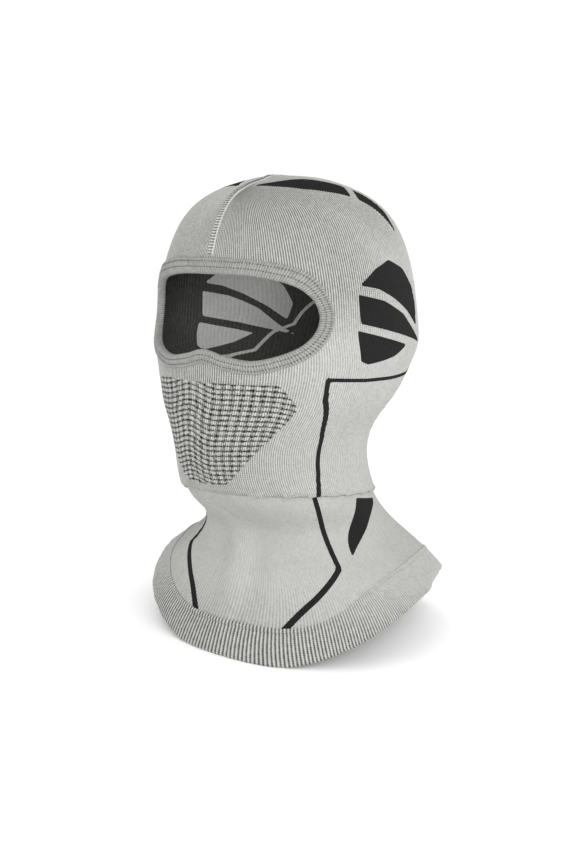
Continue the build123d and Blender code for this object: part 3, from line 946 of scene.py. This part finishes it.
# ---- eye band and seam ----
def surface_tree():
    """Search tree over the smooth outer surface."""
    v, t = block(grid, 0, COLUMNS, 0, ROWS)
    return BVHTree.FromPolygons([tuple(p) for p in v[:, :3]], [tuple(int(k) for k in f) for f in t])


SMOOTH = surface_tree()


def on_front(x, z):
    """Point and normal of the smooth outer surface seen from the front."""
    hit = SMOOTH.ray_cast(Vector((x, -0.4, z)), Vector((0, 1, 0)))
    normal = hit[1] if hit[1].y < 0 else -hit[1]
    return np.array(hit[0]), np.array(normal)


# Sections: a share of the way across and a height over the cloth.
BAND_PROFILE = [(0.10, -0.0030), (0.02, -0.0026), (-0.05, -0.0012), (-0.06, 0.0002), (0.00, 0.0012),
                (0.09, 0.0018), (0.20, 0.0019), (0.30, 0.0014), (0.36, 0.0018), (0.50, 0.0021),
                (0.64, 0.0018), (0.70, 0.0014), (0.80, 0.0018), (0.90, 0.0015), (0.98, 0.0006),
                (1.00, -0.0003), (0.60, -0.0004), (0.15, -0.0030)]


def band_frames(count):
    """Inner edge, outer edge and normal right round the eye opening."""
    inner, outer = resample(EYE, count), []
    for k, p in enumerate(inner):
        ahead = inner[(k + 1) % count] - inner[k - 1]
        side = np.array([ahead[1], -ahead[0]])
        side /= np.linalg.norm(side)
        if signed((p + side * 0.002)[None], EYE)[0] < 0:
            side = -side
        outer.append(cross_to(p, side))
    frames = []
    for p, q in zip(inner, np.array(outer)):
        a, na = on_front(*p)
        b, nb = on_front(*q)
        frames.append((a, b, na, nb))
    return frames


def cross_to(p, side):
    """Where the way from the inner edge meets the outer edge of the band."""
    steps = p + side * np.linspace(0.001, 0.016, 60)[:, None]
    return steps[np.argmin(np.abs(signed(steps, BAND)))]


def loop_smooth(a, times):
    """Evens out round a closed loop of points."""
    for _ in range(times):
        a = 0.25 * np.roll(a, 1, 0) + 0.5 * a + 0.25 * np.roll(a, -1, 0)
    return a


def swept(count, width, last, per_rib, per_stitch):
    """Triangles and knit coordinates of a profile of that width swept through count sections.

    The sections join up into a ring where last, the number of steps, is the same as count.
    """
    tris, uv = [], []
    for i in range(last):
        here, nxt = i * width, ((i + 1) % count) * width
        for k in range(width):
            j = (k + 1) % width
            q = (here + k, nxt + k, nxt + j, here + j)
            c = ((i, k), (i + 1, k), (i + 1, k + 1), (i, k + 1))
            for tri in ((0, 1, 2), (0, 2, 3)):
                tris.append([q[s] for s in tri])
                uv += [(c[s][0] / per_rib, c[s][1] * per_stitch) for s in tri]
    return tris, uv


BAND_STEPS = 920
BAND_STEPS_PER_RIB = 4


def make_band():
    """Raised elastic band with ribs across it, and two rows of stitches."""
    frames = band_frames(BAND_STEPS)
    a, b, na, nb = (loop_smooth(np.array([f[k] for f in frames]), 12) for k in range(4))
    ribs = np.cos(np.arange(BAND_STEPS) * 2 * math.pi / BAND_STEPS_PER_RIB)
    points = []
    for share, rise in BAND_PROFILE:
        n = unit(na * (1 - share) + nb * share)
        on_top = 0.00022 if rise > 0 else 0.0
        points.append(a * (1 - share) + b * share + n * (rise + on_top * ribs)[:, None])
    points = np.stack(points, 1).reshape(-1, 3)
    tris, uv = swept(BAND_STEPS, len(BAND_PROFILE), BAND_STEPS, BAND_STEPS_PER_RIB, 0.45)
    obj = plain_mesh("eye_band", points, tris, M["band"], uv)
    recalculate(obj)
    add_sheet(obj, "hood", "band_rib", "eye_band")
    for stem, share in (("inner", 0.30), ("outer", 0.70)):
        line = a * (1 - share) + b * share
        n = unit(na * (1 - share) + nb * share)
        threads = stitches(line + n * 0.0016, n, pitch=0.0021, long=0.0013, thick=0.00032)
        name = "eye_band_stitches_" + stem
        add(plain_mesh(name, *threads, M["dark_thread"]), "hood", "band_stitching", name)


def recalculate(obj):
    """Turns the faces of a closed piece outwards."""
    mesh = obj.data
    co = np.zeros(len(mesh.vertices) * 3)
    mesh.vertices.foreach_get("co", co)
    co = co.reshape(-1, 3)
    tri = np.array([p.vertices[:] for p in mesh.polygons])
    a, b, c = co[tri[:, 0]], co[tri[:, 1]], co[tri[:, 2]]
    if (a * np.cross(b, c)).sum() < 0:
        mesh.flip_normals()


def capsule(centre, along, up, long, thick):
    """Small thread with rounded ends: points and triangles."""
    along = along / np.linalg.norm(along)
    side = np.cross(along, up)
    side /= np.linalg.norm(side)
    up = np.cross(side, along)
    profile = [(-0.5, 0.0), (-0.42, 0.6), (-0.2, 1.0), (0.2, 1.0), (0.42, 0.6), (0.5, 0.0)]
    rings, spokes = [], 6
    for s, r in profile:
        for k in range(spokes):
            turn = 2 * math.pi * k / spokes
            out = side * math.cos(turn) + up * math.sin(turn)
            rings.append(centre + along * s * long + out * thick * r)
    tris = []
    for i in range(len(profile) - 1):
        for k in range(spokes):
            a, b = i * spokes + k, i * spokes + (k + 1) % spokes
            tris += [(a, b, b + spokes), (a, b + spokes, a + spokes)]
    return np.array(rings), np.array(tris)


def stitches(line, normals, pitch, long, thick, turn=0.0):
    """Row of separate stitches along a line, each turned that far from its direction."""
    run = run_of(line)
    threads = []
    for s in np.arange(pitch / 2, run[-1], pitch):
        at = np.array([np.interp(s, run, line[:, k]) for k in range(3)])
        near = min(np.searchsorted(run, s), len(line) - 1)
        ahead = line[near] - line[near - 1]
        n = normals[near]
        side = np.cross(ahead, n)
        way = ahead / np.linalg.norm(ahead) * math.cos(turn) + side / np.linalg.norm(side) * math.sin(turn)
        place = at + rng.normal(0, 0.00005, 3)
        threads.append(capsule(place, way, n, long * rng.uniform(0.9, 1.1), thick))
    return merged(*threads)


SEAM_START = 0.842  # height of the upper edge of the band, as a share of the total
SEAM_HALF = 0.0023
SEAM_STEPS_PER_RIB = 3


def median_line():
    """Outer surface along the middle from the eye band over the crown to the fold at the nape."""
    front = grid[:, 0]
    back = grid[:, HALF]
    top = grid[-1, :HALF + 1]
    start = BASE + SEAM_START * TOTAL
    climb = front[front[:, 2] > start]
    fall = back[fold_height(back[:, :3]) > 0.0006]
    line = np.vstack([climb[:-1], top, fall[::-1][1:]])
    keep = np.concatenate([[True], np.linalg.norm(np.diff(line[:, :3], axis=0), axis=1) > 1e-5])
    line = line[keep]
    run = run_of(line[:, PLACE])
    at = np.arange(0, run[-1], 0.0006)
    p = np.stack([np.interp(at, run, line[:, k]) for k in range(3)], 1)
    p[:, 0] = 0
    p = smooth_rows(p, 30)
    ahead = np.gradient(p, axis=0)
    normal = unit(np.cross(np.array([1.0, 0, 0]), ahead))
    if normal[len(normal) // 2, 2] < 0:
        normal = -normal
    return p, normal


SEAM_PROFILE = [(-1.0, -0.0004), (-0.92, 0.0002), (-0.70, 0.0005), (-0.45, 0.0006), (-0.20, 0.0003),
                (0.0, 0.0002), (0.20, 0.0003), (0.45, 0.0006), (0.70, 0.0005), (0.92, 0.0002),
                (1.0, -0.0004), (0.0, -0.0005)]


def make_seam():
    """Flatlock seam: two soft ridges with a row of stitches on each and threads across."""
    p, n = median_line()
    width = len(SEAM_PROFILE)
    wobble = 0.00012 * np.sin(np.arange(len(p)) * 2 * math.pi / SEAM_STEPS_PER_RIB)
    points = []
    for x, rise in SEAM_PROFILE:
        height = (rise + wobble)[:, None] if rise > 0 else rise
        points.append(p + np.array([x * SEAM_HALF, 0, 0]) + n * height)
    points = np.stack(points, 1).reshape(-1, 3)
    tris, uv = swept(len(p), width, len(p) - 1, SEAM_STEPS_PER_RIB, 0.4)
    last = (len(p) - 1) * width
    for k in range(1, width - 1):
        tris += [(0, k + 1, k), (last, last + k, last + k + 1)]
        uv += [(0, 0)] * 6
    obj = plain_mesh("centre_seam", points, tris, M["tape"], uv)
    recalculate(obj)
    add_sheet(obj, "hood", "seam_tape", "centre_seam")
    parts = []
    for x, turn, rise in ((-0.45, 0.25, 0.0007), (0.45, -0.25, 0.0007), (0.0, math.pi / 2, 0.0004)):
        line = p + np.array([x * SEAM_HALF, 0, 0]) + n * rise
        long = 0.0011 if x else 0.0022
        parts.append(stitches(line, n, 0.0018, long, 0.00026, turn))
    name = "centre_seam_stitches"
    add(plain_mesh(name, *merged(*parts), M["dark_thread"]), "hood", "seam_thread", name)


make_hood()
make_hem(make_neck())
make_band()
make_seam()


# ---- studio: lights are name, place, diameter and power ----
LIGHTS = [("key", (1.2, -0.9, 0.9), 1.2, 8), ("front", (0.75, -1.20, 0.35), 0.8, 12),
          ("back", (0.9, 0.9, 1.0), 1.0, 3)]
WORLD_STRENGTH = 1.04
LIGHTS_AT = (0, 0, 0.15)
PICTURE_HEIGHT = 864
FOCAL_PIXELS = 1112
SENSOR = 36.0
SHIFT_PIXELS = (-1.0, -28.0)
CAMERA_TURN, CAMERA_PITCH, CAMERA_DISTANCE = 31.5, 10.3, 0.730
CAMERA_AT = (0, SHIFT, 0.150)


def make_stage():
    """White floor."""
    bpy.ops.mesh.primitive_plane_add(size=30, location=(0, 0, BASE - 0.0004))
    floor = bpy.context.object
    floor.name = "floor"
    m, _, shader = nodes_of("floor_white")
    shader.inputs["Base Color"].default_value = (0.97, 0.97, 0.97, 1)
    shader.inputs["Roughness"].default_value = 0.9
    floor.data.materials.append(m)


def area_light(name, where, size, power):
    """Round light turned to the middle of the object."""
    data = bpy.data.lights.new(name, "AREA")
    data.shape = "DISK"
    data.size = size
    data.energy = power
    obj = bpy.data.objects.new(name, data)
    obj.location = where
    obj.rotation_euler = (Vector(LIGHTS_AT) - Vector(where)).to_track_quat("-Z", "Y").to_euler()
    bpy.context.collection.objects.link(obj)


def make_lights():
    """Three lights and a white surround."""
    for light in LIGHTS:
        area_light(*light)
    world = bpy.data.worlds.new("studio")
    bpy.context.scene.world = world
    world.use_nodes = True
    background = world.node_tree.nodes["Background"]
    background.inputs[0].default_value = (1, 1, 1, 1)
    background.inputs[1].default_value = WORLD_STRENGTH
    bpy.context.scene.view_settings.view_transform = "Standard"


def make_camera():
    """The view of the photograph."""
    azimuth, pitch = math.radians(CAMERA_TURN), math.radians(CAMERA_PITCH)
    data = bpy.data.cameras.new("camera")
    data.lens = SENSOR * FOCAL_PIXELS / PICTURE_HEIGHT
    data.sensor_width = SENSOR
    data.sensor_fit = "AUTO"
    data.clip_start = 0.01
    data.shift_x = SHIFT_PIXELS[0] / PICTURE_HEIGHT
    data.shift_y = SHIFT_PIXELS[1] / PICTURE_HEIGHT
    camera = bpy.data.objects.new("camera", data)
    target = Vector(CAMERA_AT)
    way = Vector((math.sin(azimuth) * math.cos(pitch), -math.cos(azimuth) * math.cos(pitch), math.sin(pitch)))
    camera.location = target + way * CAMERA_DISTANCE
    camera.rotation_euler = (target - camera.location).to_track_quat("-Z", "Y").to_euler()
    bpy.context.collection.objects.link(camera)
    bpy.context.scene.camera = camera


make_stage()
make_lights()
make_camera()
